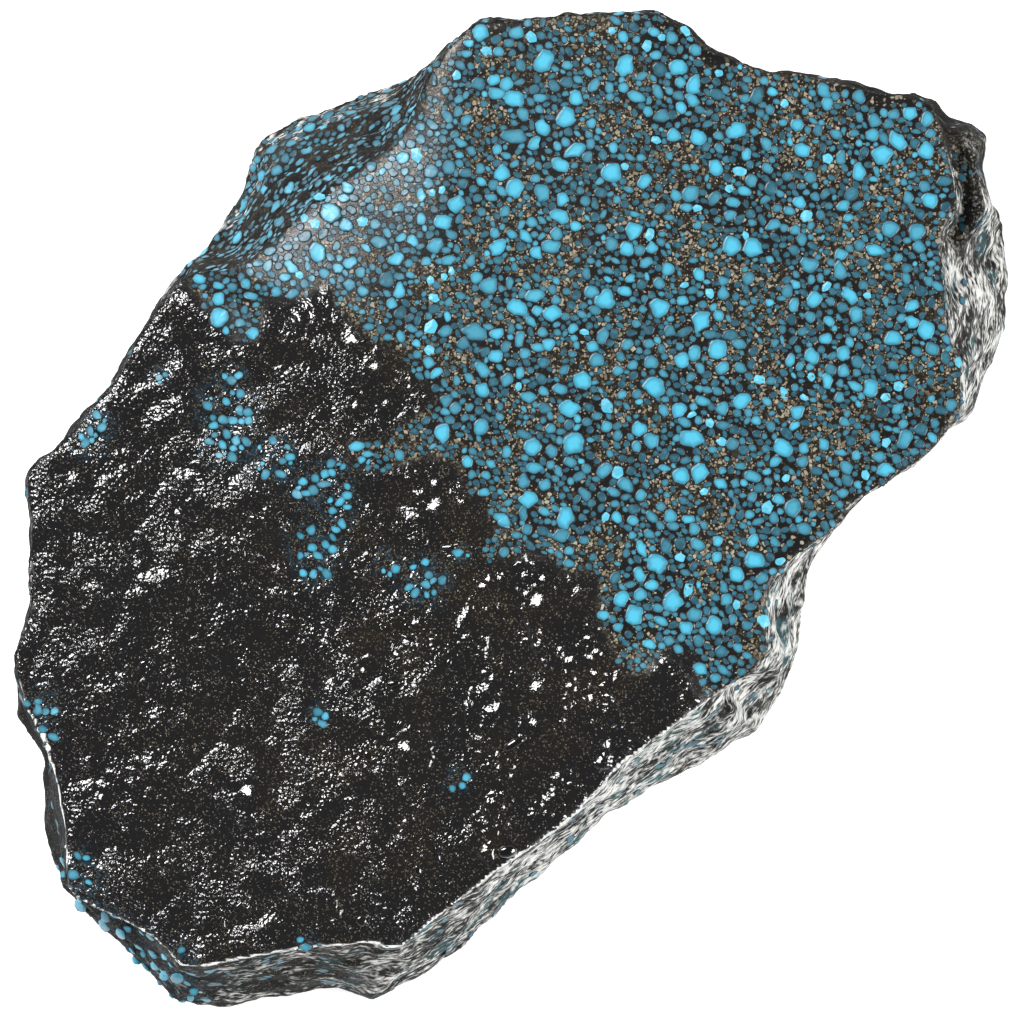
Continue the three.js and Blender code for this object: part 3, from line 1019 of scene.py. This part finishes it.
def soft_box(name, azimuth, off_zenith, power):
    """A square area light aimed at the stone, by its direction as seen from the stone."""
    light = bpy.data.lights.new(name, "AREA")
    light.size = SOFT_BOX_SIZE
    light.energy = power
    box = bpy.data.objects.new(name, light)
    turn, tilt = math.radians(azimuth), math.radians(off_zenith)
    away = Vector((math.sin(tilt) * math.cos(turn), math.sin(tilt) * math.sin(turn), math.cos(tilt)))
    box.location = away * SOFT_BOX_DISTANCE
    box.rotation_euler = away.to_track_quat("Z", "Y").to_euler()
    box.visible_camera = False
    bpy.context.scene.collection.objects.link(box)


def make_world():
    """A white tent that is open and dark overhead, where the camera looks through."""
    world = bpy.data.worlds.new("tent")
    world.use_nodes = True
    bpy.context.scene.world = world
    net = Net(world.node_tree)
    background = next(n for n in world.node_tree.nodes if n.type == "BACKGROUND")
    height = net.add("ShaderNodeTexCoord", output="Generated").parts()[2]
    sky = net.blend(height.rise(0.15, 0.8), rgb(0.45, 0.46, 0.48), rgb(0.04, 0.042, 0.045))
    net.tree.links.new(sky.socket, background.inputs["Color"])


def make_camera(settings):
    """A long lens straight over the stone, which takes in the frame width at the stone's face."""
    camera = bpy.data.cameras.new("camera")
    camera.sensor_width = 36
    camera.lens = camera.sensor_width * settings.camera_distance / settings.frame_width
    camera.clip_end = 100
    eye = bpy.data.objects.new("camera", camera)
    x, y, height = CAMERA_AIM
    eye.location = (x, y, height + settings.camera_distance)
    bpy.context.scene.collection.objects.link(eye)
    bpy.context.scene.camera = eye


# ---- settings and operators ----------------------------------------------------------------------
class RockSettings(bpy.types.PropertyGroup):
    skin_step: bpy.props.FloatProperty(
        name="Skin step", description="Distance between the rock's surface points",
        default=0.33 * MM, unit="LENGTH", precision=5)
    smoothing: bpy.props.IntProperty(
        name="Smoothing", description="Passes that soften the facets before relief is added",
        default=4)
    crust_lumps: bpy.props.FloatProperty(
        name="Crust lumps", description="Strength of the crust's lumps", default=1.0, subtype="FACTOR")
    side_fractures: bpy.props.FloatProperty(
        name="Side fractures", description="Strength of the broken sides' relief", default=1.0,
        subtype="FACTOR")
    crust_colour: bpy.props.FloatVectorProperty(
        name="Crust colour", description="The crust's black", default=(0.0095, 0.0095, 0.010),
        subtype="COLOR", min=0.0, max=1.0)
    # the streaks' pale colour is partly powdered stone and partly a painted reflection
    streak_colour: bpy.props.FloatVectorProperty(
        name="Streak colour", description="The crushed streaks on the broken sides",
        default=(0.64, 0.64, 0.61), subtype="COLOR", min=0.0, max=1.0)


class GrainSettings(bpy.types.PropertyGroup):
    nodule_darts: bpy.props.IntProperty(
        name="Nodule darts", description="How many nodules are tried for, most of them in vain",
        default=120000)
    least_nodule: bpy.props.FloatProperty(
        name="Smallest nodule", description="Radius of the smallest nodules on the field",
        default=0.20 * MM, unit="LENGTH", precision=5)
    most_nodule: bpy.props.FloatProperty(
        name="Largest nodule", description="Radius of the largest nodules on the field",
        default=0.88 * MM, unit="LENGTH", precision=5)
    nodule_wobble: bpy.props.FloatProperty(
        name="Nodule wobble", description="How uneven the nodules' outlines are", default=1.0,
        subtype="FACTOR")
    chip_share: bpy.props.FloatProperty(
        name="Chipped share", description="Share of the middling nodules that are chipped and angular",
        default=0.07, subtype="FACTOR")
    pyrite_count: bpy.props.IntProperty(
        name="Pyrite grains", description="Number of proud pyrite grains", default=4500)
    most_pyrite: bpy.props.FloatProperty(
        name="Largest pyrite grain", description="Half of the largest pyrite grains' width",
        default=0.22 * MM, unit="LENGTH", precision=5)
    bead_count: bpy.props.IntProperty(
        name="Crust beads", description="Number of glossy beads on the crust", default=2200)
    most_bead: bpy.props.FloatProperty(
        name="Largest bead", description="Radius of the largest beads towards the crust's left",
        default=0.55 * MM, unit="LENGTH", precision=5)
    sky_blue: bpy.props.FloatVectorProperty(
        name="Sky blue", description="Colour of the brightest nodules",
        default=(0.060, 0.370, 0.520), subtype="COLOR", min=0.0, max=1.0)
    slate_blue: bpy.props.FloatVectorProperty(
        name="Slate blue", description="Colour of the dimmest nodules",
        default=(0.012, 0.054, 0.080), subtype="COLOR", min=0.0, max=1.0)
    pyrite_colour: bpy.props.FloatVectorProperty(
        name="Pyrite colour", description="Colour of the pyrite grains of middling tone",
        default=(0.22, 0.185, 0.118), subtype="COLOR", min=0.0, max=1.0)


class StageSettings(bpy.types.PropertyGroup):
    key_power: bpy.props.FloatProperty(
        name="Key power", description="Power of the low soft box at the upper left",
        default=63.0, unit="POWER")
    fill_power: bpy.props.FloatProperty(
        name="Fill power", description="Power of the low soft box at the right",
        default=44.0, unit="POWER")
    camera_distance: bpy.props.FloatProperty(
        name="Camera distance", description="Height of the camera over the stone", default=1.2,
        unit="LENGTH")
    frame_width: bpy.props.FloatProperty(
        name="Frame width", description="What the picture's width takes in at the stone",
        default=81.92 * MM, unit="LENGTH", precision=5)


class NUGGET_OT_rock(bpy.types.Operator):
    """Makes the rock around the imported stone"""

    bl_idname = "nugget.rock"
    bl_label = "Make rock"

    def execute(self, context):
        make_rock(context.scene.nugget_rock)
        return {"FINISHED"}


class NUGGET_OT_nodules(bpy.types.Operator):
    """Makes the nodules: worn flush, bare at the lower left corner, and chipped"""

    bl_idname = "nugget.nodules"
    bl_label = "Make nodules"

    def execute(self, context):
        make_nodules(context.scene.nugget_grains)
        return {"FINISHED"}


class NUGGET_OT_grains(bpy.types.Operator):
    """Makes the pyrite grains and the crust's beads"""

    bl_idname = "nugget.grains"
    bl_label = "Make pyrite and beads"

    def execute(self, context):
        settings = context.scene.nugget_grains
        make_pyrite(settings)
        make_beads(settings)
        return {"FINISHED"}


class NUGGET_OT_stage(bpy.types.Operator):
    """Makes the floor, the soft boxes, the tent and the camera"""

    bl_idname = "nugget.stage"
    bl_label = "Make stage"

    def execute(self, context):
        settings = context.scene.nugget_stage
        make_floor()
        soft_box("key", azimuth=140, off_zenith=41, power=settings.key_power)
        soft_box("fill", azimuth=-20, off_zenith=58, power=settings.fill_power)
        make_world()
        make_camera(settings)
        context.scene.view_settings.view_transform = "Standard"
        return {"FINISHED"}


class NUGGET_PT_panel(bpy.types.Panel):
    """Lists the settings and the operators"""

    bl_label = "Turquoise nugget"
    bl_space_type = "VIEW_3D"
    bl_region_type = "UI"
    bl_category = "Nugget"

    def draw(self, context):
        scene = context.scene
        for settings in (scene.nugget_rock, scene.nugget_grains, scene.nugget_stage):
            for name in settings.__annotations__:
                self.layout.prop(settings, name)
        for operator in OPERATORS:
            self.layout.operator(operator.bl_idname)


OPERATORS = (NUGGET_OT_rock, NUGGET_OT_nodules, NUGGET_OT_grains, NUGGET_OT_stage)
CLASSES = (RockSettings, GrainSettings, StageSettings, *OPERATORS, NUGGET_PT_panel)


def register():
    for kind in CLASSES:
        bpy.utils.register_class(kind)
    bpy.types.Scene.nugget_rock = bpy.props.PointerProperty(type=RockSettings)
    bpy.types.Scene.nugget_grains = bpy.props.PointerProperty(type=GrainSettings)
    bpy.types.Scene.nugget_stage = bpy.props.PointerProperty(type=StageSettings)


def unregister():
    del bpy.types.Scene.nugget_rock
    del bpy.types.Scene.nugget_grains
    del bpy.types.Scene.nugget_stage
    for kind in reversed(CLASSES):
        bpy.utils.unregister_class(kind)


def main():
    register()
    bpy.ops.nugget.rock()
    bpy.ops.nugget.nodules()
    bpy.ops.nugget.grains()
    bpy.ops.nugget.stage()


if __name__ == "__main__":
    main()
